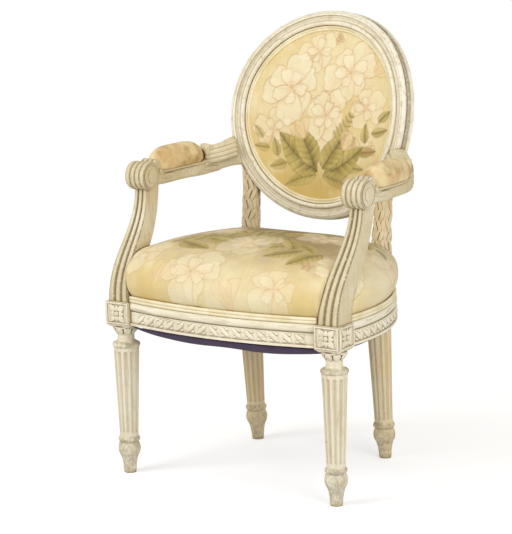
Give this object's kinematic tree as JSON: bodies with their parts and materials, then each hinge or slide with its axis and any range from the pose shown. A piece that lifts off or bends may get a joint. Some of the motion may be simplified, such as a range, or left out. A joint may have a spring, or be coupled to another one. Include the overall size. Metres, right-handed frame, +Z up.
{
  "type": "upholstered armchair",
  "caption": "Open armchair with a round hollow back, crowned sprung seat, padded arms with scrolled hands and turned fluted legs, in painted wood and flowered cloth.",
  "frame": {"origin": "on the floor, under the middle of the chair's outline", "axes": "+Z up, -Y to the front of the chair, +X to the viewer's right from the front"},
  "size_m": [0.5614, 0.513, 0.9106],
  "materials": {
    "painted_wood": "cream paint, worn, with a grey-brown glaze in the recesses",
    "raw_wood": "raw",
    "screw_steel": "plain",
    "spring_steel": "plain wire",
    "webbing": "woven jute",
    "hessian": "open woven jute",
    "stuffing": "loose fibre",
    "cover": "pale gold silk with a flowered pattern",
    "pad_cover": "gold silk",
    "trim": "corded trim",
    "dust_cloth": "dark thin cloth"
  },
  "bodies": {
    "root": {"front_leg_left": "painted_wood", "front_leg_right": "painted_wood", "rear_leg_left": "painted_wood", "rear_leg_right": "painted_wood", "front_rail": "painted_wood", "side_rail_left": "painted_wood", "side_rail_right": "painted_wood", "rear_rail": "painted_wood", "back_frame_top": "painted_wood", "back_frame_bottom": "painted_wood", "back_frame_left": "painted_wood", "back_frame_right": "painted_wood", "arm_left": "painted_wood", "arm_right": "painted_wood", "arm_support_left": "painted_wood", "arm_support_right": "painted_wood", "corner_block_front_left": "raw_wood", "corner_block_front_right": "raw_wood", "corner_block_rear_left": "raw_wood", "corner_block_rear_right": "raw_wood", "back_frame_dowels": "raw_wood", "stile_dowels": "raw_wood", "arm_dowels": "raw_wood", "support_dowels": "raw_wood", "corner_block_screws": "screw_steel", "seat_springs": "spring_steel", "seat_webbing": "webbing", "back_webbing": "webbing", "seat_hessian": "hessian", "back_hessian": "hessian", "seat_stuffing": "stuffing", "back_stuffing": "stuffing", "seat_cover": "cover", "back_cover": "cover", "outside_back": "cover", "arm_pad_left": "pad_cover", "arm_pad_right": "pad_cover", "seat_gimp": "trim", "back_gimp": "trim", "outside_back_gimp": "trim", "dust_cover": "dust_cloth"}
  },
  "joints": []
}
